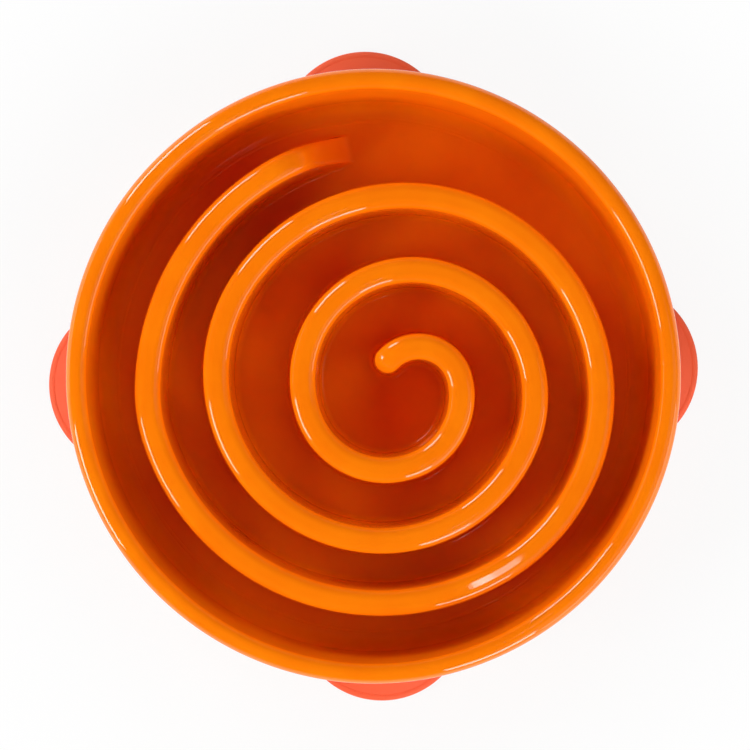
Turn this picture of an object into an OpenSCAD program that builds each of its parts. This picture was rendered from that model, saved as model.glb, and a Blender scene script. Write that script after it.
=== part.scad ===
// Slow feeder bowl: one moulded shell with a hollow spiral ridge, on four rubber feet.
// Origin on the ground under the middle of the bowl, +Z up. Lengths in millimetres, angles in degrees.

/* [Rim and well] */
// Outer radius of the rim
rim_r = 135; // [125:1:150]
// Height of the top of the rim above the ground
bowl_h = 52; // [48:1:65]
// Width of the rim, from its outer edge to the top of the well's wall
rim_w = 9; // [9:0.5:12]
// Radius of the rim's outer shoulder
rim_outer_round = 5; // [4:0.5:5]
// Radius of the rim's inner shoulder
rim_inner_round = 3.6; // [3:0.1:3.8]
// Thickness of the plastic
wall = 2.4; // [1.8:0.1:3]
// Lean of the well's wall from upright
well_draft = 3; // [1:0.5:5]
// Radius of the fillet between the wall and the floor
floor_round = 7; // [4:0.5:9]
// Height of the top of the floor above the ground
floor_top = 8; // [7:0.5:10]

/* [Spiral ridge] */
// Height of the ridge's crown above the ground
ridge_top = 44; // [36:1:46]
// Width of the ridge across its crown
ridge_w = 11.4; // [10:0.2:14]
// Radius of the ridge's two shoulders
ridge_round = 4.2; // [3:0.1:4.8]
// Radius of the fillet at the ridge's root
root_round = 2.5; // [1:0.5:3.5]
// Lean of the ridge's walls from upright
ridge_draft = 2; // [1:0.5:3]
// Angle of the last arc up to the ramp, which sets how far round the ridge runs
last_sweep = 63; // [50:1:68]
// Length in plan of the ramp at the ridge's outer end
ramp_run = 20; // [16:1:26]
// Radius where the crown turns down into the ramp
ramp_bend = 10; // [6:1:14]
// Radius of the fillet at the foot of the ramp
toe_round = 6; // [3:0.5:8]

/* [Skirt and flanges] */
// Height of the skirt's bottom edge above the ground
skirt_z = 3; // [2:0.5:3.5]
// Lean of the skirt, wider at the bottom
skirt_draft = 1.5; // [0.5:0.5:3]
// Width of the flanges that carry the feet, inward from the rim's outer radius
flange_w = 13; // [12:0.5:14]
// Half of the angle that a flange spans
flange_half = 16; // [14:1:20]
// Angle from a flange's end to the gusset there
gusset_in_angle = 1; // [0.5:0.5:3]
// Thickness of the gussets over each flange
gusset_t = 1.8; // [1.2:0.1:2.6]
// Height of the gussets' tops above the ground
gusset_top = 25; // [20:1:32]

/* [Feet] */
// Distance of a foot's round pad inward from the rim's outer radius
pad_in = 26; // [24:1:29]
// Radius of a foot's round pad
pad_r = 39; // [36:1:42]
// Distance at which the pad is cut off, inward from the rim's outer radius
pad_cut_in = 14; // [11:1:17]
// Half of the width at which the pad's tips are cut off
pad_half_w = 34; // [28:1:38]
// Height of the pad's top where it wraps the skirt
pad_h = 8.5; // [7:0.5:11]
// Drop of the pad's top from the skirt to its outer edge
pad_fall = 3; // [1:0.5:4]
// Width of the slope on the pad's top
pad_slope_w = 9; // [7:0.5:11]
// Radius of the pad's upper edge
pad_top_round = 3; // [1.5:0.5:3.5]
// Chamfer round the pad's bottom edge
pad_chamfer = 0.8; // [0.3:0.1:1.2]
// Distance of the studs inward from the rim's outer radius
stud_in = 6.5; // [5.5:0.5:7.5]
// Angle of each stud from the middle of its foot
stud_angle = 8; // [6:1:10]
// Diameter of a stud's shank
stud_d = 5.6; // [4:0.2:6.4]
// Diameter of a stud's head
head_d = 8.4; // [7.4:0.2:9]
// Height of a stud's head
head_h = 2.2; // [1.5:0.1:3]
// Clearance of a shank in its hole, all round
stud_clear = 0.3; // [0.1:0.1:0.5]
// Clearance between the pad and the skirt
pad_clear = 0.2; // [0.1:0.1:0.5]

/* [Hidden] */

// A round is drawn this much larger than it should be, so that it crosses the flats that it meets
seam = 0.01;
// Overrun of a cut past the faces that it opens
over = 1;
// Every second arc is this much smaller and reaches a lap's length into its neighbours, so that no skins coincide
tuck = 0.03;
lap = 0.5;

// Facets of the mesh preview
rev_fn = 96;
arc_fn = 72;
round_fn = 24;

// The ridge's centre line is a chain of arcs that turn clockwise, each tangent to the last.
// Radii of the arcs, as shares of the rim's outer radius
arc_share = [0.137, 0.24, 0.266, 0.359, 0.416, 0.508, 0.549, 0.646, 0.764, 0.62, 0.832];
// Angle that each arc turns through
arc_sweep = [130, 85, 90, 125, 96, 78, 126, 178, 112, 28, last_sweep];
// Direction from the first arc's centre to the ridge's inner end
arc_start = 140;
// Place of the first arc's centre, as shares of the rim's outer radius
spiral_x_share = 0.143;
spiral_y_share = -0.047;
arcs = len(arc_share);
function arc_r(i) = arc_share[i] * rim_r;
function arc_inset(i) = i % 2 * tuck;

// Ridge section, in half widths x from the centre line and heights z
sh_x = ridge_w / 2 - ridge_round;
sh_z = ridge_top - ridge_round;
side_x = sh_x + ridge_round * cos(ridge_draft);
side_z = sh_z + ridge_round * sin(ridge_draft);
root_z = floor_top + root_round;
root_x = side_x + (root_round - (root_z - side_z) * sin(ridge_draft)) / cos(ridge_draft);
core_round = ridge_round - wall;
core_z = floor_top - wall - over;
function core_x(z) = side_x - wall / cos(ridge_draft) + (side_z - z) * tan(ridge_draft);

// Rim, wall and floor section, in radii x and heights z
out_x = rim_r - rim_outer_round;
out_z = bowl_h - rim_outer_round;
in_x = rim_r - rim_w + rim_inner_round;
in_z = bowl_h - rim_inner_round;
lip_x = in_x - rim_inner_round * cos(well_draft);
lip_z = in_z + rim_inner_round * sin(well_draft);
bend_z = floor_top + floor_round;
bend_x = lip_x - (floor_round - (bend_z - lip_z) * sin(well_draft)) / cos(well_draft);
floor_under = floor_top - wall;
// Radius of the skirt's face at a height, at a depth under the outer face
function skirt_x(z, depth) = out_x + (rim_outer_round - depth) / cos(skirt_draft) + (out_z - z) * tan(skirt_draft);
// Radius of the wall's face at a height, at a depth behind the well's face
function well_x(z, depth) = lip_x - (lip_z - z) * tan(well_draft) + depth / cos(well_draft);

// Places of the flanges and feet, which follow the rim
flange_r = rim_r - flange_w;
pad_c = rim_r - pad_in;
pad_cut_r = rim_r - pad_cut_in;
stud_c = rim_r - stud_in;

// Side view of the ramp, in lengths x from its start and heights z: a bend, a straight slope and a fillet
ramp_drop = ridge_top - floor_top - ramp_bend;
ramp_lean = atan2(ramp_drop, ramp_run) + asin(ramp_bend / norm([ramp_run, ramp_drop]));
toe_x = ramp_run + toe_round * tan(ramp_lean / 2);
toe_z = floor_top + toe_round;
// The last arc runs on under the ramp by these angles
ramp_turn = ramp_run / arc_r(arcs - 1) * 180 / PI;
tail_turn = (toe_x + over) / arc_r(arcs - 1) * 180 / PI;

// Half of the ridge's outer section; inset draws it that much smaller
module ridge_half(inset = 0) {
    difference() {
        union() {
            polygon([
                [0, floor_top - wall / 2],
                [root_x - inset, floor_top - wall / 2],
                [root_x - inset, floor_top],
                [root_x - inset - root_round * cos(ridge_draft), root_z - root_round * sin(ridge_draft)],
                [side_x - inset, side_z],
                [sh_x, sh_z],
                [sh_x, ridge_top - inset],
                [0, ridge_top - inset]
            ]);
            translate([sh_x, sh_z])
                circle(r = ridge_round + seam - inset, $fn = round_fn);
        }
        translate([root_x - inset, root_z])
            circle(r = root_round + seam, $fn = round_fn);
    }
}

// Half of the hollow under the ridge; inset draws it that much smaller
module core_half(inset = 0) {
    polygon([
        [0, core_z],
        [core_x(core_z) - inset, core_z],
        [core_x(side_z) - inset, side_z],
        [sh_x + core_round * sin(45) - inset, sh_z + core_round * cos(45)],
        [sh_x, ridge_top - wall - inset],
        [0, ridge_top - wall - inset]
    ]);
}

// A whole section from its half
module both_sides() {
    children();
    mirror([1, 0])
        children();
}

// One arc swept with the section given, in a frame at its centre whose x axis points to the arc's start
module arc(i) {
    lead = arc_inset(i) > 0 ? lap / arc_r(i) * 180 / PI : 0;
    tail = i == arcs - 1 ? tail_turn : lead;
    rotate([0, 0, -arc_sweep[i] - tail])
        rotate_extrude(angle = arc_sweep[i] + lead + tail, $fn = arc_fn)
            translate([arc_r(i), 0])
                both_sides()
                    children();
}

module outer_arc(i) {
    difference() {
        arc(i)
            ridge_half(arc_inset(i));
        if (i == arcs - 1)
            over_ramp()
                above_skin();
    }
}

module core_arc(i) {
    difference() {
        arc(i)
            core_half(arc_inset(i));
        if (i == arcs - 1)
            over_ramp()
                beyond_core();
    }
}

// The arcs from i on; each hands its end to the next, whose centre lies on the same line
module outer_chain(i) {
    outer_arc(i);
    if (i + 1 < arcs)
        rotate([0, 0, -arc_sweep[i]])
            translate([arc_r(i) - arc_r(i + 1), 0, 0])
                outer_chain(i + 1);
}

module core_chain(i) {
    core_arc(i);
    if (i + 1 < arcs)
        rotate([0, 0, -arc_sweep[i]])
            translate([arc_r(i) - arc_r(i + 1), 0, 0])
                core_chain(i + 1);
}

// Stands a side view across the last arc, square to its heading at the ramp's middle
module over_ramp() {
    rotate([0, 0, -last_sweep - ramp_turn / 2])
        translate([arc_r(arcs - 1), ramp_run / 2, 0])
            rotate([90, 0, -90])
                linear_extrude(height = 2 * ridge_w, center = true)
                    children();
}

// Side view of the space over the ramp's skin
module above_skin() {
    difference() {
        union() {
            polygon([
                [0, ridge_top + over],
                [toe_x + toe_round, ridge_top + over],
                [toe_x + toe_round, floor_top],
                [toe_x, floor_top],
                [toe_x - toe_round * sin(ramp_lean), toe_z - toe_round * cos(ramp_lean)],
                [ramp_bend * sin(ramp_lean), ridge_top - ramp_bend * (1 - cos(ramp_lean))],
                [0, ridge_top - ramp_bend]
            ]);
            translate([toe_x, toe_z])
                circle(r = toe_round + seam, $fn = round_fn);
        }
        translate([0, ridge_top - ramp_bend])
            circle(r = ramp_bend + seam, $fn = round_fn);
    }
}

// Side view of what lies past the hollow's end under the ramp
module beyond_core() {
    inner_bend = ramp_bend - wall;
    edge_x = inner_bend * sin(ramp_lean);
    edge_z = ridge_top - ramp_bend + inner_bend * cos(ramp_lean);
    low_z = core_z - over;
    difference() {
        polygon([
            [0, ridge_top + over],
            [toe_x + toe_round, ridge_top + over],
            [toe_x + toe_round, low_z],
            [edge_x + (edge_z - low_z) / tan(ramp_lean), low_z],
            [edge_x, edge_z],
            [0, ridge_top - ramp_bend]
        ]);
        translate([0, ridge_top - ramp_bend])
            circle(r = inner_bend + seam, $fn = round_fn);
    }
}

// Places the chain of arcs in the bowl
module on_spiral() {
    translate([spiral_x_share * rim_r, spiral_y_share * rim_r, 0])
        rotate([0, 0, arc_start])
            children();
}

// The round nose at the ridge's inner end, turned from what of the section lies on one side of its axis
module nose() {
    translate([arc_r(0), 0, 0])
        rotate_extrude($fn = arc_fn)
            intersection() {
                children();
                square([ridge_w, bowl_h]);
            }
}

module ridge_outer() {
    on_spiral() {
        outer_chain(0);
        nose()
            ridge_half(tuck);
    }
}

module ridge_core() {
    on_spiral() {
        core_chain(0);
        nose()
            core_half(tuck);
    }
}

// Everything under the bowl's upper skin, down to the skirt's bottom edge
module upper_region() {
    difference() {
        union() {
            polygon([
                [0, skirt_z],
                [skirt_x(skirt_z, 0), skirt_z],
                [out_x + rim_outer_round * cos(skirt_draft), out_z + rim_outer_round * sin(skirt_draft)],
                [out_x, out_z],
                [out_x, bowl_h],
                [in_x, bowl_h],
                [in_x, in_z],
                [lip_x, lip_z],
                [bend_x + floor_round * cos(well_draft), bend_z - floor_round * sin(well_draft)],
                [bend_x, floor_top],
                [0, floor_top]
            ]);
            translate([out_x, out_z])
                circle(r = rim_outer_round + seam, $fn = round_fn);
            translate([in_x, in_z])
                circle(r = rim_inner_round + seam, $fn = round_fn);
        }
        translate([bend_x, bend_z])
            circle(r = floor_round + seam, $fn = round_fn);
    }
}

// The open space under the shell
module under_region() {
    difference() {
        union() {
            polygon([
                [0, skirt_z - over],
                [skirt_x(skirt_z - over, wall), skirt_z - over],
                [out_x + (rim_outer_round - wall) * cos(skirt_draft),
                 out_z + (rim_outer_round - wall) * sin(skirt_draft)],
                [out_x, out_z],
                [out_x, bowl_h - wall],
                [well_x(bowl_h - wall, wall), bowl_h - wall],
                [bend_x + (floor_round + wall) * cos(well_draft),
                 bend_z - (floor_round + wall) * sin(well_draft)],
                [bend_x, floor_under],
                [0, floor_under]
            ]);
            translate([out_x, out_z])
                circle(r = rim_outer_round - wall + seam, $fn = round_fn);
        }
        translate([bend_x, bend_z])
            circle(r = floor_round + wall + seam, $fn = round_fn);
    }
}

module shell() {
    rotate_extrude($fn = rev_fn)
        difference() {
            upper_region();
            under_region();
        }
}

// Flange under the skirt's bottom edge, with the two holes for a foot's studs
module flange() {
    difference() {
        rotate([0, 0, -flange_half])
            rotate_extrude(angle = 2 * flange_half, $fn = rev_fn)
                translate([flange_r, skirt_z])
                    square([skirt_x(skirt_z, wall / 2) - flange_r, wall]);
        at_studs()
            translate([0, 0, skirt_z - over])
                cylinder(d = stud_d + 2 * stud_clear, h = wall + 2 * over, $fn = round_fn);
    }
}

// Gussets that tie a flange to the skirt and the wall
module gussets() {
    gusset_in = well_x(bend_z, wall / 2);
    gusset_turn = flange_half - gusset_in_angle;
    for (a = [-gusset_turn, 0, gusset_turn])
        rotate([0, 0, a])
            translate([gusset_in, -gusset_t / 2, skirt_z + wall / 2])
                cube([skirt_x(gusset_top, wall / 2) - gusset_in, gusset_t, gusset_top - skirt_z - wall / 2]);
}

module at_studs() {
    for (a = [-stud_angle, stud_angle])
        rotate([0, 0, a])
            translate([stud_c, 0, 0])
                children();
}

module bowl() {
    color("orange")
        union() {
            difference() {
                union() {
                    shell();
                    ridge_outer();
                }
                ridge_core();
            }
            for (a = [0, 90, 180, 270])
                rotate([0, 0, a]) {
                    flange();
                    gussets();
                }
        }
}

// A round pad turned about its own axis, cut off under the bowl, with a seat for the skirt and two studs
module foot() {
    pad_edge_z = pad_h - pad_fall;
    difference() {
        intersection() {
            translate([pad_c, 0, 0])
                rotate_extrude($fn = rev_fn) {
                    polygon([
                        [0, 0],
                        [pad_r - pad_chamfer, 0],
                        [pad_r, pad_chamfer],
                        [pad_r, pad_edge_z - pad_top_round],
                        [pad_r - pad_top_round, pad_edge_z - pad_top_round],
                        [pad_r - pad_top_round, pad_edge_z],
                        [pad_r - pad_slope_w, pad_h],
                        [0, pad_h]
                    ]);
                    translate([pad_r - pad_top_round, pad_edge_z - pad_top_round])
                        circle(r = pad_top_round, $fn = round_fn);
                }
            translate([0, -pad_half_w, 0])
                cube([pad_c + 2 * pad_r, 2 * pad_half_w, pad_h + over]);
        }
        translate([0, 0, -over])
            cylinder(r = pad_cut_r, h = pad_h + 2 * over, $fn = rev_fn);
        rotate_extrude($fn = rev_fn)
            polygon([
                [0, skirt_z],
                [skirt_x(skirt_z, -pad_clear), skirt_z],
                [skirt_x(pad_h + over, -pad_clear), pad_h + over],
                [0, pad_h + over]
            ]);
    }
    at_studs() {
        cylinder(d = stud_d, h = skirt_z + wall + head_h / 2, $fn = round_fn);
        translate([0, 0, skirt_z + wall])
            cylinder(d1 = head_d, d2 = stud_d, h = head_h, $fn = round_fn);
    }
}

module foot_at(angle) {
    color("coral")
        rotate([0, 0, angle])
            foot();
}

bowl();
foot_at(0);  // foot_right
foot_at(90);  // foot_back
foot_at(180);  // foot_left
foot_at(270);  // foot_front
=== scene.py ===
import logging
import math
from dataclasses import dataclass
from enum import Enum
from typing import Iterable, Sequence

import bmesh
import bpy
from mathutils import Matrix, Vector
from mathutils.geometry import delaunay_2d_cdt


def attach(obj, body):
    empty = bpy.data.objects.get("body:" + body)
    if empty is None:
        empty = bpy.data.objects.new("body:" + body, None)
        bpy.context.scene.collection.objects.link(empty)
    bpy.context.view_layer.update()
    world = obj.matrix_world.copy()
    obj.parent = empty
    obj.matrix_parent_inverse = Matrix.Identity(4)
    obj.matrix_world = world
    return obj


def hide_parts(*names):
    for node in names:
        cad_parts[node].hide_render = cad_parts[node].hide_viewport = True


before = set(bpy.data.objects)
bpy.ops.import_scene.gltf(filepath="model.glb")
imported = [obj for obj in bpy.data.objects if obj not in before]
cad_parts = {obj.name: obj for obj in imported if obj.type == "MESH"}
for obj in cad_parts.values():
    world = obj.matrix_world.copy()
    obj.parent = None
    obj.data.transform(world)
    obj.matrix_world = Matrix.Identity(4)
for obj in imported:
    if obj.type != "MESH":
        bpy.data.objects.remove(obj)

Point2 = tuple[float, float]
Point3 = tuple[float, float, float]
Colour = tuple[float, float, float, float]

MM = 0.001
BODY = "root"
WHITE: Colour = (1.0, 1.0, 1.0, 1.0)

# Sizes that the shell and its ridge share, in millimetres.
RIM_R = 135.0
FLOOR_Z = 8.0
WALL = 2.4

# An edge that turns by more than this, in degrees, is shaded sharp.
CREASE = 32.0

# Points this close, in metres, are welded, and faces thinner than a sliver go.
WELD = 2e-6
SLIVER = 1e-7

# The triangulation keeps what lies inside the outline, and merges points this close, in millimetres.
INSIDE_OUTLINE = 1
SAME_POINT = 1e-7

log = logging.getLogger("slow_feeder")


class FootSide(Enum):
    """The four feet, each with the direction it stands in, in degrees."""

    RIGHT = 0
    BACK = 90
    LEFT = 180
    FRONT = 270

    @property
    def node(self) -> str:
        """Name of the foot's node in the frame."""
        return f"foot_{self.name.lower()}"


def srgb(code: str) -> Colour:
    """Turns an sRGB hex colour into linear values.

    Args:
        code: The colour, as in "#fc7e06".

    Returns:
        Linear red, green and blue, and full opacity.
    """
    parts = [int(code.lstrip("#")[i:i + 2], 16) / 255 for i in (0, 2, 4)]
    linear = [p / 12.92 if p <= 0.04045 else ((p + 0.055) / 1.055) ** 2.4 for p in parts]
    return (linear[0], linear[1], linear[2], 1.0)


def add_node(
    tree: bpy.types.NodeTree,
    kind: str,
    links: dict[str | int, object] | None = None,
    **settings: object,
) -> bpy.types.Node:
    """Adds a node with its settings, its values and its links.

    Args:
        tree: The node tree.
        kind: The node's type name, without its prefix.
        links: For each input by name or number, a value or the output socket that feeds it.
        **settings: Attributes of the node.

    Returns:
        The new node.
    """
    node = tree.nodes.new(f"ShaderNode{kind}")
    for key, value in settings.items():
        setattr(node, key, value)
    for key, value in (links or {}).items():
        socket = node.inputs[key]
        if isinstance(value, bpy.types.NodeSocket):
            tree.links.new(value, socket)
        else:
            socket.default_value = value
    return node


def new_material(name: str) -> tuple[bpy.types.Material, bpy.types.NodeTree]:
    """Makes a material with no nodes in it.

    Args:
        name: Name of the material.

    Returns:
        The material and its node tree.
    """
    material = bpy.data.materials.new(name)
    material.use_nodes = True
    material.node_tree.nodes.clear()
    return material, material.node_tree


@dataclass(frozen=True)
class GlossPolypropylene:
    """Polypropylene, coloured through and injection moulded in a polished tool."""

    colour: str = "#fc7e06"
    colour_deep: str = "#f97805"
    roughness: float = 0.03
    ior: float = 1.49
    flow_mm: float = 18.0
    flow_detail: float = 3.0
    flow_range: tuple[float, float] = (0.35, 0.65)
    peel_mm: float = 1.4
    peel_detail: float = 2.0
    peel_strength: float = 0.012
    peel_depth_mm: float = 0.2

    def material(self) -> bpy.types.Material:
        """Builds the finish.

        Returns:
            The material.
        """
        material, tree = new_material("gloss_polypropylene")
        place_at = add_node(tree, "TexCoord").outputs["Object"]
        # The melt's flow leaves soft patches, some 18 mm wide, in which the orange is a little deeper.
        flow = add_node(tree, "TexNoise", {
            "Vector": place_at, "Scale": 1 / (self.flow_mm * MM), "Detail": self.flow_detail})
        tint = add_node(tree, "MapRange", {
            "Value": flow.outputs["Fac"], "From Min": self.flow_range[0], "From Max": self.flow_range[1]})
        colour = add_node(tree, "Mix", {
            "Factor": tint.outputs["Result"], "A": srgb(self.colour), "B": srgb(self.colour_deep)},
            data_type="RGBA")
        # A shrinking wall leaves a faint orange peel, which only shows as a wavering edge of a highlight.
        peel = add_node(tree, "TexNoise", {
            "Vector": place_at, "Scale": 1 / (self.peel_mm * MM), "Detail": self.peel_detail})
        bump = add_node(tree, "Bump", {
            "Height": peel.outputs["Fac"], "Strength": self.peel_strength,
            "Distance": self.peel_depth_mm * MM})
        # The polished tool leaves a hard, clear gloss: lamps show as narrow, crisp streaks on every edge.
        shader = add_node(tree, "BsdfPrincipled", {
            "Base Color": colour.outputs[2], "Roughness": self.roughness, "IOR": self.ior,
            "Normal": bump.outputs["Normal"]})
        add_node(tree, "OutputMaterial", {"Surface": shader.outputs[0]})
        return material


@dataclass(frozen=True)
class SoftRubber:
    """Thermoplastic rubber, moulded in a blasted tool."""

    colour: str = "#e8572e"
    roughness: float = 0.72
    ior: float = 1.5
    grain_mm: float = 0.5
    grain_detail: float = 4.0
    grain_strength: float = 0.12
    grain_depth_mm: float = 0.1

    def material(self) -> bpy.types.Material:
        """Builds the finish.

        Returns:
            The material.
        """
        material, tree = new_material("soft_rubber")
        place_at = add_node(tree, "TexCoord").outputs["Object"]
        # The blasted tool's grain is too fine to show, so it is drawn 0.5 mm coarse. It scatters the
        # light and leaves the coral dry, matte and even, with no highlight.
        grain = add_node(tree, "TexNoise", {
            "Vector": place_at, "Scale": 1 / (self.grain_mm * MM), "Detail": self.grain_detail})
        bump = add_node(tree, "Bump", {
            "Height": grain.outputs["Fac"], "Strength": self.grain_strength,
            "Distance": self.grain_depth_mm * MM})
        shader = add_node(tree, "BsdfPrincipled", {
            "Base Color": srgb(self.colour), "Roughness": self.roughness, "IOR": self.ior,
            "Normal": bump.outputs["Normal"]})
        add_node(tree, "OutputMaterial", {"Surface": shader.outputs[0]})
        return material


@dataclass(frozen=True)
class BackdropPaper:
    """Seamless backdrop paper, calendered smooth.

    Distances are in metres from the middle of the bowl, and a glow of 1 is plain white.
    """

    colour: str = "#e6e6e4"
    glow_near: float = 0.88
    glow_far: float = 0.985
    near: float = 0.15
    far: float = 0.26

    def material(self) -> bpy.types.Material:
        """Builds the finish.

        Returns:
            The material.
        """
        material, tree = new_material("backdrop_paper")
        # Smooth white paper shows as plain white. Camera, glossy and transmission rays see it glow by
        # itself. The glow is a little weaker near the bowl, so that the bowl's faint shadow shows there.
        # The weaker glow also paints the paper a little darker round the bowl: a painted shade that fades
        # out with distance.
        rays = add_node(tree, "LightPath")
        seen = add_node(tree, "Math", {
            0: rays.outputs["Is Camera Ray"], 1: rays.outputs["Is Glossy Ray"]}, operation="MAXIMUM")
        seen = add_node(tree, "Math", {
            0: seen.outputs[0], 1: rays.outputs["Is Transmission Ray"]}, operation="MAXIMUM")
        spot = add_node(tree, "NewGeometry").outputs["Position"]
        away = add_node(tree, "VectorMath", {0: spot}, operation="LENGTH")
        glow = add_node(tree, "MapRange", {
            "Value": away.outputs["Value"], "From Min": self.near, "From Max": self.far,
            "To Min": self.glow_near, "To Max": self.glow_far}, interpolation_type="SMOOTHSTEP")
        share = add_node(tree, "Math", {0: seen.outputs[0], 1: glow.outputs[0]}, operation="MULTIPLY")
        paper = add_node(tree, "BsdfDiffuse", {"Color": srgb(self.colour), "Roughness": 0.0})
        white = add_node(tree, "Emission", {"Color": WHITE, "Strength": 1.0})
        mix = add_node(tree, "MixShader", {0: share.outputs[0], 1: paper.outputs[0], 2: white.outputs[0]})
        add_node(tree, "OutputMaterial", {"Surface": mix.outputs[0]})
        return material


def inside(point: Point2, ring: Sequence[Point2]) -> bool:
    """Tells whether a point lies inside a closed ring.

    Args:
        point: The point.
        ring: The ring's points, in order.

    Returns:
        True if it lies inside.
    """
    x, y = point
    hit = False
    for i, (x1, y1) in enumerate(ring):
        x0, y0 = ring[i - 1]
        if (y0 > y) != (y1 > y) and x < x0 + (y - y0) * (x1 - x0) / (y1 - y0):
            hit = not hit
    return hit


def arc_points(centre: Point2, radius: float, start: float, end: float, steps: int) -> list[Point2]:
    """Points on an arc, both ends included.

    Args:
        centre: Centre of the arc.
        radius: Radius of the arc.
        start: Angle of the first point, in degrees.
        end: Angle of the last point, in degrees.
        steps: Number of chords.

    Returns:
        The points, one more than the chords.
    """
    angles = (math.radians(start + (end - start) * i / steps) for i in range(steps + 1))
    return [(centre[0] + radius * math.cos(a), centre[1] + radius * math.sin(a)) for a in angles]


def blend_points(a: Point2, b: Point2, steps: int) -> list[Point2]:
    """Points on the straight line between two points, both ends left out.

    Args:
        a: One end.
        b: The other end.
        steps: Number of equal parts of the line.

    Returns:
        The points, one fewer than the parts.
    """
    return [
        (a[0] + (b[0] - a[0]) * i / steps, a[1] + (b[1] - a[1]) * i / steps)
        for i in range(1, steps)
    ]


def height_on(line: Sequence[Point2], way: float) -> float:
    """Height of a line at a way along it; it runs on level past both ends.

    Args:
        line: Points of the line, each a way and a height.
        way: The way.

    Returns:
        The height there.
    """
    if way <= line[0][0]:
        return line[0][1]
    for a, b in zip(line, line[1:]):
        if way <= b[0]:
            return a[1] + (b[1] - a[1]) * (way - a[0]) / (b[0] - a[0])
    return line[-1][1]


class MeshDraft:
    """Collects points and faces in millimetres and welds them into one mesh of closed shells."""

    def __init__(self) -> None:
        """Starts with no points and no faces."""
        self.points: list[Point3] = []
        self.faces: list[tuple[int, ...]] = []

    def add(self, points: Iterable[Point3]) -> list[int]:
        """Adds points.

        Args:
            points: The points, in order.

        Returns:
            Their numbers.
        """
        first = len(self.points)
        self.points.extend(points)
        return list(range(first, len(self.points)))

    def strip(self, a: Sequence[int], b: Sequence[int]) -> None:
        """Joins two open rows of the same length with quads.

        Args:
            a: Numbers of the first row's points.
            b: Numbers of the second row's points.
        """
        self.faces += [(a[i], a[i + 1], b[i + 1], b[i]) for i in range(len(a) - 1)]

    def bridge(self, a: Sequence[int], b: Sequence[int]) -> None:
        """Joins two closed loops of the same length with quads.

        Args:
            a: Numbers of the first loop's points.
            b: Numbers of the second loop's points.
        """
        self.strip([*a, a[0]], [*b, b[0]])

    def sheet(self, outline: Sequence[int], holes: Sequence[Sequence[int]] = ()) -> None:
        """Fills a flat outline with triangles, all but its holes.

        Args:
            outline: Numbers of the points round the sheet, all at one height.
            holes: Loops of point numbers that stay open.
        """
        rings = [list(outline), *[list(hole) for hole in holes]]
        flat = [self.points[i] for ring in rings for i in ring]
        edges, base = [], 0
        for ring in rings:
            n = len(ring)
            edges += [(base + i, base + (i + 1) % n) for i in range(n)]
            base += n
        height = flat[0][2]
        spots = [Vector(p[:2]) for p in flat]
        verts, _, tris, *_ = delaunay_2d_cdt(spots, edges, [], INSIDE_OUTLINE, SAME_POINT)
        openings = [[self.points[i][:2] for i in hole] for hole in holes]
        numbers = self.add((v.x, v.y, height) for v in verts)
        for tri in tris:
            mid = (sum(verts[i].x for i in tri) / len(tri), sum(verts[i].y for i in tri) / len(tri))
            if not any(inside(mid, opening) for opening in openings):
                self.faces.append(tuple(numbers[i] for i in tri))

    def mesh(self, name: str) -> bpy.types.Mesh:
        """Welds the draft into a mesh in metres, shaded smooth but for its creases.

        Args:
            name: Name of the mesh.

        Returns:
            The finished mesh.
        """
        bm = bmesh.new()
        verts = [bm.verts.new(Vector(p) * MM) for p in self.points]
        for face in self.faces:
            ring = [verts[i] for i in dict.fromkeys(face)]
            if len(ring) > 2:
                bm.faces.new(ring)
        bmesh.ops.remove_doubles(bm, verts=bm.verts, dist=WELD)
        bmesh.ops.dissolve_degenerate(bm, dist=SLIVER, edges=bm.edges)
        bmesh.ops.recalc_face_normals(bm, faces=bm.faces)
        for face in bm.faces:
            face.smooth = True
        limit = math.radians(CREASE)
        for edge in bm.edges:
            edge.smooth = edge.calc_face_angle(0.0) < limit
        open_edges = sum(1 for edge in bm.edges if not edge.is_manifold)
        log.info("%s: %d faces, %d open edges", name, len(bm.faces), open_edges)
        mesh = bpy.data.meshes.new(name)
        bm.to_mesh(mesh)
        bm.free()
        return mesh


def place(mesh: bpy.types.Mesh, name: str, slot: str, *nodes: str) -> bpy.types.Object:
    """Puts a finished mesh in the scene as a piece that stands for CAD nodes.

    Args:
        mesh: The piece's mesh, in the shared frame.
        name: Name of the piece.
        slot: The record's material slot for the piece's finish; not used.
        *nodes: The nodes that the piece replaces.

    Returns:
        The placed object.
    """
    piece = bpy.data.objects.new(name, mesh)
    bpy.context.scene.collection.objects.link(piece)
    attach(piece, BODY)
    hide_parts(*nodes)
    return piece


@dataclass(frozen=True)
class Station:
    """A place on the ridge's centre line.

    It holds the point, the direction away from its arc's centre, and the way from the nose.
    """

    point: Point2
    out: Point2
    way: float

    def at(self, offset: float, behind: float, height: float) -> Point3:
        """A point beside the station.

        Args:
            offset: Distance to the outer side of the centre line.
            behind: Distance back along the centre line.
            height: Height of the point.

        Returns:
            The point.
        """
        x = self.point[0] + offset * self.out[0] - behind * self.out[1]
        y = self.point[1] + offset * self.out[1] + behind * self.out[0]
        return (x, y, height)


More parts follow.
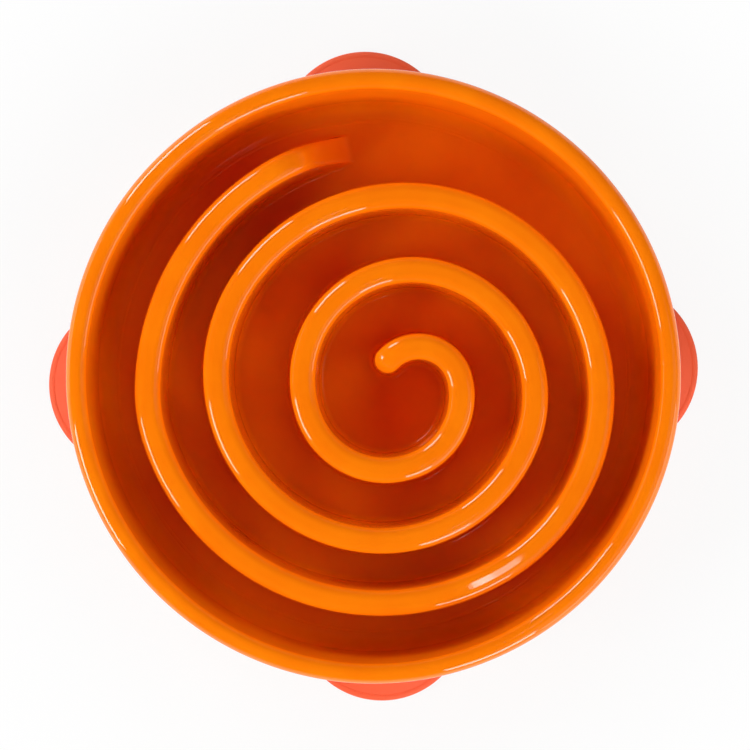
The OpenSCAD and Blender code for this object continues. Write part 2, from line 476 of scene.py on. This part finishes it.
@dataclass(frozen=True)
class SpiralPath:
    """The ridge's centre line: a chain of arcs that turn clockwise, each tangent to the last.

    Radii and the first centre are shares of the rim's radius, angles are in degrees, and the steps
    between stations, on the first arc and on the others, are in millimetres.
    """

    rim_r: float = RIM_R
    arc_share: tuple[float, ...] = (
        0.138, 0.241, 0.266, 0.359, 0.415, 0.51, 0.547, 0.634, 0.661, 0.776, 0.511, 0.834)
    arc_sweep: tuple[float, ...] = (
        123.8, 83.1, 90.9, 122.4, 99.8, 74.7, 118.2, 93.4, 108.8, 104.4, 18.6, 78.1)
    arc_start: float = 135.5
    centre_share: Point2 = (0.147, -0.046)
    first_step: float = 0.6
    step: float = 1.5

    def stations(self) -> list[Station]:
        """Even stations on each arc, closer together on the tight first one.

        Returns:
            The stations, from the nose to the ramp's foot.
        """
        found: list[Station] = []
        centre = (self.centre_share[0] * self.rim_r, self.centre_share[1] * self.rim_r)
        angle = math.radians(self.arc_start)
        way, radius = 0.0, self.arc_share[0] * self.rim_r
        for i, (share, sweep) in enumerate(zip(self.arc_share, self.arc_sweep)):
            shift = radius - share * self.rim_r
            radius = share * self.rim_r
            centre = (centre[0] + shift * math.cos(angle), centre[1] + shift * math.sin(angle))
            turn = math.radians(sweep)
            count = math.ceil(radius * turn / (self.step if i else self.first_step))
            for k in range(1 if i else 0, count + 1):
                a = angle - turn * k / count
                out = (math.cos(a), math.sin(a))
                spot = (centre[0] + radius * out[0], centre[1] + radius * out[1])
                found.append(Station(spot, out, way + radius * turn * k / count))
            angle -= turn
            way += radius * turn
        return found


@dataclass(frozen=True)
class RidgeSizes:
    """Sizes of the ridge's section, of the ramp that it ends in and of its nose.

    Lengths are in millimetres; the draft and the ramp's lean are in degrees. The crown keeps a thin edge
    strip, so that it is shaded flat, and the foot a margin of floor, in which the floor's sheet starts.
    """

    top: float = 44.0
    width: float = 11.4
    shoulder: float = 4.2
    root: float = 2.5
    draft: float = 2.0
    floor: float = FLOOR_Z
    ramp_lean: float = 56.0
    ramp_bend: float = 24.0
    ramp_toe: float = 4.0
    dome: float = 9.0
    dome_lead: float = 13.0
    flat_edge: float = 0.2
    margin: float = 0.4
    shoulder_steps: int = 10
    side_steps: int = 6
    root_steps: int = 9
    bend_steps: int = 24
    toe_steps: int = 8

    @property
    def toe_centre(self) -> Point2:
        """Centre of the fillet at the ramp's foot.

        Returns:
            The way from the ramp's start, and the height.
        """
        lean = math.radians(self.ramp_lean)
        sine, cosine = math.sin(lean), math.cos(lean)
        height = self.floor + self.ramp_toe
        fall = height - self.top + self.ramp_bend * (1 - cosine)
        return (self.ramp_bend * sine + (self.ramp_toe - fall * cosine) / sine, height)

    def section(self, depth: float) -> list[Point2]:
        """Half the section, from the crown's edge to the floor's face and a margin past it.

        Args:
            depth: Distance under the outer skin, 0 for the skin and the wall for the hollow.

        Returns:
            Offsets from the centre line and heights.
        """
        d = math.radians(self.draft)
        half_flat = self.width / 2 - self.shoulder
        high = self.top - self.shoulder
        side = (half_flat + self.shoulder * math.cos(d), high + self.shoulder * math.sin(d))
        low = self.floor + self.root
        root = (side[0] + (self.root - (low - side[1]) * math.sin(d)) / math.cos(d), low)
        points = [(half_flat - self.flat_edge, self.top - depth)]
        points += arc_points((half_flat, high), self.shoulder - depth, 90, self.draft, self.shoulder_steps)
        foot = arc_points(root, self.root + depth, 180 + self.draft, 270, self.root_steps)
        points += blend_points(points[-1], foot[0], self.side_steps) + foot
        points.append((points[-1][0] + self.margin, points[-1][1]))
        return points

    def ramp(self, depth: float) -> list[Point2]:
        """The crown's line down the ramp.

        Args:
            depth: Distance under the outer skin.

        Returns:
            Ways from the ramp's start and heights.
        """
        centre, lean = (0.0, self.top - self.ramp_bend), self.ramp_lean
        bend = arc_points(centre, self.ramp_bend - depth, 90, 90 - lean, self.bend_steps)
        return bend + arc_points(self.toe_centre, self.ramp_toe + depth, 270 - lean, 270, self.toe_steps)

    def nose_share(self, way: float) -> float:
        """Share of the ridge's height that is left near the nose, where its end is domed.

        Args:
            way: Way from the first station, less than 0 round the nose.

        Returns:
            The share, 1 where the dome has ended.
        """
        u = (self.dome_lead - way) / (self.dome_lead + self.width / 2)
        u = min(max(u, 0.0), 1.0)
        return 1 - self.dome * (1 - math.sqrt(1 - u * u)) / (self.top - self.floor)


@dataclass(frozen=True)
class SpiralRidge:
    """The hollow ridge that winds from its nose in the middle of the bowl to its ramp."""

    path: SpiralPath = SpiralPath()
    sizes: RidgeSizes = RidgeSizes()
    nose_steps: int = 28

    def shares(self, stations: Sequence[Station], depth: float) -> list[float]:
        """Share of the ridge's height that its nose and its ramp leave at each station.

        Args:
            stations: The stations.
            depth: Distance under the outer skin.

        Returns:
            One share for each station.
        """
        sizes = self.sizes
        base = sizes.floor - depth
        start = stations[-1].way - sizes.toe_centre[0]
        line = sizes.ramp(depth)
        found = []
        for s in stations:
            ramp_share = (height_on(line, s.way - start) - base) / (sizes.top - sizes.floor)
            found.append(ramp_share * sizes.nose_share(s.way))
        return found

    def nose(self, first: Station, side: float, base: float, up: float) -> list[Point3]:
        """Points round the nose, at one point of the section.

        Args:
            first: The first station.
            side: Offset of the section's point.
            base: Height of the floor's face.
            up: Height of the section's point over that face.

        Returns:
            The points, from the outer side to the inner side.
        """
        points = []
        for k in range(1, self.nose_steps):
            turn = math.pi * k / self.nose_steps
            behind = side * math.sin(turn)
            height = base + up * self.sizes.nose_share(-behind)
            points.append(first.at(side * math.cos(turn), behind, height))
        return points

    def rows(self, depth: float) -> list[list[Point3]]:
        """Rows of points on the skin or the hollow, one for each point of the half section.

        Args:
            depth: Distance under the outer skin.

        Returns:
            The rows. Each runs from the ramp's foot back on the outer side, round the nose and on to the
            foot again.
        """
        stations = self.path.stations()
        shares = self.shares(stations, depth)
        base = self.sizes.floor - depth
        rows = []
        for side, z in self.sizes.section(depth):
            up = z - base
            outer = [s.at(side, 0.0, base + up * share) for s, share in zip(stations, shares)]
            inner = [s.at(-side, 0.0, base + up * share) for s, share in zip(stations, shares)]
            rows.append([*reversed(outer), *self.nose(stations[0], side, base, up), *inner])
        return rows

    def draw(self, draft: MeshDraft, depth: float) -> list[int]:
        """Draws the outer skin or the hollow.

        Args:
            draft: The draft that takes it.
            depth: Distance under the outer skin.

        Returns:
            Numbers of the points on the outline that meets the floor.
        """
        rows = [draft.add(points) for points in self.rows(depth)]
        for a, b in zip(rows, rows[1:]):
            draft.strip(a, b)
        crown = rows[0]
        half = (len(crown) + 1) // 2
        draft.strip(crown[:half], crown[::-1][:half])
        foot_inner = [row[-1] for row in reversed(rows[:-1])]
        foot_outer = [row[0] for row in rows[:-1]]
        return [*rows[-1], *foot_inner, *foot_outer]


@dataclass(frozen=True)
class ShellSizes:
    """Sizes of the rim, wall, floor and skirt, in millimetres and degrees.

    The floor's sheet reaches to disc_r. Outside it two fine witness lines of the tool's insert run round
    the floor. Each is a shallow groove with a radius, a depth, and half its width at the top and in its
    bed. Where the wall meets the rim from below, the inner corner is eased by corner and corner_cut.
    """

    rim_r: float = RIM_R
    height: float = 52.0
    rim_w: float = 9.0
    outer_round: float = 5.0
    inner_round: float = 3.6
    wall: float = WALL
    well_draft: float = 3.0
    floor_round: float = 7.0
    floor: float = FLOOR_Z
    skirt_z: float = 3.0
    skirt_draft: float = 1.5
    edge_round: float = 0.7
    corner: float = 0.9
    corner_cut: float = 0.25
    disc_r: float = 114.7
    witness: tuple[float, ...] = (115.1, 116.7)
    witness_depth: float = 0.1
    witness_half: float = 0.3
    witness_bed: float = 0.12
    segments: int = 288
    floor_round_steps: int = 12
    well_steps: int = 4
    inner_round_steps: int = 10
    outer_round_steps: int = 16
    skirt_steps: int = 6
    edge_steps: int = 4
    under_rim_steps: int = 8

    @property
    def inner_centre(self) -> Point2:
        """Centre of the rim's inner round."""
        return (self.rim_r - self.rim_w + self.inner_round, self.height - self.inner_round)

    @property
    def outer_centre(self) -> Point2:
        """Centre of the rim's outer round."""
        return (self.rim_r - self.outer_round, self.height - self.outer_round)

    @property
    def lip(self) -> Point2:
        """Where the rim's inner round meets the well's wall.

        Returns:
            Radius and height.
        """
        d = math.radians(self.well_draft)
        x, z = self.inner_centre
        return (x - self.inner_round * math.cos(d), z + self.inner_round * math.sin(d))

    @property
    def bend(self) -> Point2:
        """Centre of the fillet between the wall and the floor.

        Returns:
            Radius and height.
        """
        d = math.radians(self.well_draft)
        x, z = self.lip
        low = self.floor + self.floor_round
        return (x - (self.floor_round - (low - z) * math.sin(d)) / math.cos(d), low)

    def skirt(self, z: float, depth: float) -> Point2:
        """A point of the skirt's section.

        Args:
            z: Height of the point.
            depth: Distance under the skirt's outer face.

        Returns:
            Radius and height.
        """
        d = math.radians(self.skirt_draft)
        x, top = self.outer_centre
        r = x + (self.outer_round - depth) / math.cos(d)
        return (r + (top - z) * math.tan(d), z)

    def well(self, z: float, depth: float) -> Point2:
        """A point of the well's wall in section.

        Args:
            z: Height of the point.
            depth: Distance behind the wall's face.

        Returns:
            Radius and height.
        """
        d = math.radians(self.well_draft)
        x, top = self.lip
        return (x - (top - z) * math.tan(d) + depth / math.cos(d), z)

    def upper_profile(self) -> list[Point2]:
        """The section from the floor, over the rim and down to the skirt's bottom edge.

        Returns:
            Radii and heights.
        """
        bed = self.floor - self.witness_depth
        lean, q = self.well_draft, self.edge_round
        points: list[Point2] = [(self.disc_r, self.floor)]
        for r in self.witness:
            points += [(r - self.witness_half, self.floor), (r - self.witness_bed, bed)]
            points += [(r + self.witness_bed, bed), (r + self.witness_half, self.floor)]
        points += arc_points(self.bend, self.floor_round, 270, 360 - lean, self.floor_round_steps)
        points += blend_points(points[-1], self.lip, self.well_steps)
        points += arc_points(self.inner_centre, self.inner_round, 180 - lean, 90, self.inner_round_steps)
        points += arc_points(
            self.outer_centre, self.outer_round, 90, self.skirt_draft, self.outer_round_steps)
        points += blend_points(points[-1], self.skirt(self.skirt_z + q, 0), self.skirt_steps)
        return points

    def lower_profile(self) -> list[Point2]:
        """The section round the skirt's bottom edge, up inside it, and back under the floor.

        Returns:
            Radii and heights.
        """
        foot_out, foot_in = self.skirt(self.skirt_z, 0), self.skirt(self.skirt_z, self.wall)
        q = self.edge_round
        points = arc_points((foot_out[0] - q, self.skirt_z + q), q, 0, -90, self.edge_steps)
        points += arc_points((foot_in[0] + q, self.skirt_z + q), q, -90, -180, self.edge_steps)
        points += arc_points(
            self.outer_centre, self.outer_round - self.wall, self.skirt_draft, 90, self.under_rim_steps)
        x, z = self.well(self.height - self.wall, self.wall)
        points.append((x + self.corner, z))
        points.append((x + self.corner_cut, z - self.corner_cut))
        points.append(self.well(z - self.corner, self.wall))
        points += arc_points(
            self.bend, self.floor_round + self.wall, 360 - self.well_draft, 270, self.floor_round_steps)
        points.append((self.disc_r, self.floor - self.wall))
        return points


@dataclass(frozen=True)
class FlangeSizes:
    """Sizes of a flange under the skirt, its stud holes and its gussets, in millimetres and degrees."""

    inner_r: float = 122.0
    half_angle: float = 16.0
    gusset_t: float = 1.8
    gusset_top: float = 25.0
    gusset_inset: float = 1.0
    stud_c: float = 128.5
    stud_angle: float = 8.0
    hole_d: float = 6.2
    arc_steps: int = 40


@dataclass(frozen=True)
class BowlMoulding:
    """The bowl: one injection-moulded shell with its ridge, flanges and gussets."""

    shell: ShellSizes = ShellSizes()
    ridge: SpiralRidge = SpiralRidge()
    flange: FlangeSizes = FlangeSizes()
    finish: GlossPolypropylene = GlossPolypropylene()

    def turn(self, draft: MeshDraft) -> tuple[list[int], list[int]]:
        """Turns the shell's section about the axis.

        Args:
            draft: The draft that takes it.

        Returns:
            The rings of points that bound the floor, above and below.
        """
        n = self.shell.segments
        angles = [2 * math.pi * i / n for i in range(n)]
        rings = []
        for r, z in self.shell.upper_profile() + self.shell.lower_profile():
            rings.append(draft.add((r * math.cos(a), r * math.sin(a), z) for a in angles))
        for a, b in zip(rings, rings[1:]):
            draft.bridge(a, b)
        return rings[0], rings[-1]

    def draw_flange(self, draft: MeshDraft, angle: float) -> None:
        """Draws one flange with its two holes, and the gussets over it.

        Args:
            draft: The draft that takes it.
            angle: Direction of the flange's middle, in degrees.
        """
        s, f = self.shell, self.flange
        outer_r = s.skirt(s.skirt_z, s.wall / 2)[0]
        start, end = angle - f.half_angle, angle + f.half_angle
        inner = arc_points((0, 0), f.inner_r, start, end, f.arc_steps)
        outer = arc_points((0, 0), outer_r, end, start, f.arc_steps)
        holes = []
        for side in (-1, 1):
            a = math.radians(angle + side * f.stud_angle)
            middle = (f.stud_c * math.cos(a), f.stud_c * math.sin(a))
            holes.append(arc_points(middle, f.hole_d / 2, 0, 360, f.arc_steps)[:-1])
        faces = []
        for z in (s.skirt_z, s.skirt_z + s.wall):
            rings = [draft.add((x, y, z) for x, y in ring) for ring in [[*inner, *outer], *holes]]
            draft.sheet(rings[0], rings[1:])
            faces.append(rings)
        for low, high in zip(*faces):
            draft.bridge(low, high)
        for a in (f.gusset_inset - f.half_angle, 0, f.half_angle - f.gusset_inset):
            self.draw_gusset(draft, math.radians(angle + a), s.skirt_z + s.wall / 2)

    def draw_gusset(self, draft: MeshDraft, angle: float, base: float) -> None:
        """Draws one gusset as a flat plate between the wall and the skirt.

        Args:
            draft: The draft that takes it.
            angle: Direction of the gusset, in radians.
            base: Height of its lower edge.
        """
        s, f = self.shell, self.flange
        near = s.well(s.bend[1], s.wall / 2)[0]
        far = s.skirt(f.gusset_top, s.wall / 2)[0]
        ahead, out = (math.cos(angle), math.sin(angle)), (-math.sin(angle), math.cos(angle))
        corners = ((near, base), (far, base), (far, f.gusset_top), (near, f.gusset_top))
        rings = []
        for side in (-f.gusset_t / 2, f.gusset_t / 2):
            rings.append(draft.add(
                (r * ahead[0] + side * out[0], r * ahead[1] + side * out[1], z) for r, z in corners))
        draft.bridge(rings[0], rings[1])
        draft.faces += [tuple(rings[0]), tuple(reversed(rings[1]))]

    def build(self) -> bpy.types.Object:
        """Builds the whole moulding in the place of its node and gives it its finish.

        Returns:
            The piece.
        """
        draft = MeshDraft()
        top, bottom = self.turn(draft)
        draft.sheet(top, [self.ridge.draw(draft, 0.0)])
        draft.sheet(bottom, [self.ridge.draw(draft, self.shell.wall)])
        for side in FootSide:
            self.draw_flange(draft, side.value)
        piece = place(draft.mesh("bowl_moulding"), "bowl_moulding", "bowl_plastic", "bowl")
        piece.data.materials.append(self.finish.material())
        return piece


@dataclass(frozen=True)
class RubberFeet:
    """The four feet, which keep the shape of their nodes."""

    finish: SoftRubber = SoftRubber()

    def dress(self) -> None:
        """Gives each foot's node the rubber's finish."""
        rubber = self.finish.material()
        for side in FootSide:
            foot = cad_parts[side.node]
            foot.data.materials.clear()
            foot.data.materials.append(rubber)
            log.info("rubber on node %s", side.node)


@dataclass(frozen=True)
class Softbox:
    """One soft lamp, aimed at the bowl, with angles in degrees and lengths in metres.

    The azimuth counts anticlockwise from the frame's x axis. The radiance is in the units in which white
    paper is 1. A lamp that is no glint lights the bowl but leaves no reflection, as a polarised fill does.
    """

    name: str
    azimuth: float
    elevation: float
    distance: float
    width: float
    height: float
    radiance: float
    glint: bool = True

    def build(self) -> None:
        """Hangs the lamp on its bearing."""
        lamp = bpy.data.lights.new(self.name, "AREA")
        lamp.shape = "RECTANGLE"
        lamp.size, lamp.size_y = self.width, self.height
        lamp.energy = self.radiance * math.pi * self.width * self.height
        holder = bpy.data.objects.new(self.name, lamp)
        a, e = math.radians(self.azimuth), math.radians(self.elevation)
        spot = Vector((math.cos(a) * math.cos(e), math.sin(a) * math.cos(e), math.sin(e))) * self.distance
        holder.location = spot
        holder.rotation_euler = (-spot).to_track_quat("-Z", "Y").to_euler()
        holder.visible_camera = False
        holder.visible_glossy = self.glint
        bpy.context.scene.collection.objects.link(holder)


@dataclass(frozen=True)
class Studio:
    """A pale floor in a dim room, softboxes at the sides and two small lamps beside the camera.

    Lengths are in metres. The room glows at the level of walls up to walls_end, a sine of the elevation,
    and fades from there to the level of ceiling at ceiling_start. The softboxes draw the streaks on the
    edges, the lamps beside the camera draw the patch on the outermost crown, and the fills light the bowl
    evenly.
    """

    floor_half: float = 30.0
    floor_drop: float = 0.0002
    walls: float = 0.3
    ceiling: float = 0.02
    walls_end: float = 0.05
    ceiling_start: float = 0.35
    paper: BackdropPaper = BackdropPaper()
    # Name, azimuth, elevation, distance, width, height, radiance and glint.
    lamps: tuple[Softbox, ...] = (
        Softbox("softbox_upper_left", 132, 24, 1.5, 0.52, 0.42, 11.5),
        Softbox("softbox_lower_left", 200, 24, 1.5, 0.60, 0.42, 11.5),
        Softbox("softbox_lower_right", 291, 24, 1.5, 0.45, 0.42, 10.5),
        Softbox("window_right", 327, 12, 1.6, 1.5, 0.55, 2.2),
        Softbox("window_top", 332, 42, 1.6, 1.6, 1.0, 0.35),
        Softbox("panel_left", 166, 5, 1.5, 0.8, 0.24, 1.6),
        Softbox("camera_lamp", -64.3, 80.46, 1.2675, 0.020, 0.014, 12),
        Softbox("camera_lamp_dim", -57.6, 80.46, 1.2675, 0.029, 0.014, 6),
        Softbox("fill_back", 75, 32, 2.0, 2.0, 1.2, 1.5, False),
        Softbox("fill_left", 170, 32, 2.0, 2.0, 1.2, 1.65, False),
        Softbox("fill_front", 265, 32, 2.0, 2.0, 1.2, 1.4, False),
        Softbox("fill_right", 340, 32, 2.0, 2.0, 1.2, 1.95, False),
    )

    def lay_floor(self) -> None:
        """Lays the floor a little under the feet, so that their undersides don't lie in its plane."""
        half = self.floor_half
        mesh = bpy.data.meshes.new("studio_floor")
        corners = [(-half, -half, 0), (half, -half, 0), (half, half, 0), (-half, half, 0)]
        mesh.from_pydata(corners, [], [(0, 1, 2, 3)])
        mesh.materials.append(self.paper.material())
        floor = bpy.data.objects.new("studio_floor", mesh)
        floor.location.z = -self.floor_drop
        bpy.context.scene.collection.objects.link(floor)

    def light_room(self) -> None:
        """Lights the room: brighter round the horizon, nearly dark overhead."""
        world = bpy.data.worlds.new("studio_world")
        world.use_nodes = True
        tree = world.node_tree
        tree.nodes.clear()
        way = add_node(tree, "SeparateXYZ", {0: add_node(tree, "TexCoord").outputs["Generated"]})
        level = add_node(tree, "MapRange", {
            "Value": way.outputs["Z"], "From Min": self.walls_end, "From Max": self.ceiling_start,
            "To Min": self.walls, "To Max": self.ceiling}, interpolation_type="SMOOTHSTEP")
        room = add_node(tree, "Background", {"Color": WHITE, "Strength": level.outputs[0]})
        add_node(tree, "OutputWorld", {"Surface": room.outputs[0]})
        bpy.context.scene.world = world

    def build(self) -> None:
        """Lays the floor, lights the room and hangs the lamps."""
        self.lay_floor()
        self.light_room()
        for lamp in self.lamps:
            lamp.build()


@dataclass(frozen=True)
class TopCamera:
    """The photograph's camera, straight above the bowl.

    Lengths are in metres, but for the sensor's width in millimetres and the focal length and the frame in
    pixels. The turn is in degrees.
    """

    height: float = 1.202
    focal_px: float = 2630.0
    frame_px: float = 750.0
    sensor_mm: float = 36.0
    turn: float = -2.0
    shift_right: float = 0.0007
    shift_up: float = 0.00053

    def build(self) -> None:
        """Hangs the camera and makes it the scene's."""
        lens = bpy.data.cameras.new("top_camera")
        lens.sensor_width = self.sensor_mm
        lens.lens = self.focal_px / self.frame_px * self.sensor_mm
        camera = bpy.data.objects.new("top_camera", lens)
        a = math.radians(self.turn)
        right, up = (math.cos(a), math.sin(a)), (-math.sin(a), math.cos(a))
        camera.location = (
            self.shift_right * right[0] + self.shift_up * up[0],
            self.shift_right * right[1] + self.shift_up * up[1],
            self.height,
        )
        camera.rotation_euler = (0, 0, a)
        bpy.context.scene.collection.objects.link(camera)
        bpy.context.scene.camera = camera


def main() -> None:
    """Builds the camera, the bowl, the feet and the studio in order."""
    logging.basicConfig(level=logging.INFO, format="%(name)s: %(message)s")
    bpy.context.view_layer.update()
    TopCamera().build()
    bowl = BowlMoulding().build()
    log.info("piece %s stands for node bowl", bowl.name)
    RubberFeet().dress()
    Studio().build()
    bpy.context.scene.view_settings.view_transform = "Standard"


if __name__ == "__main__":
    main()
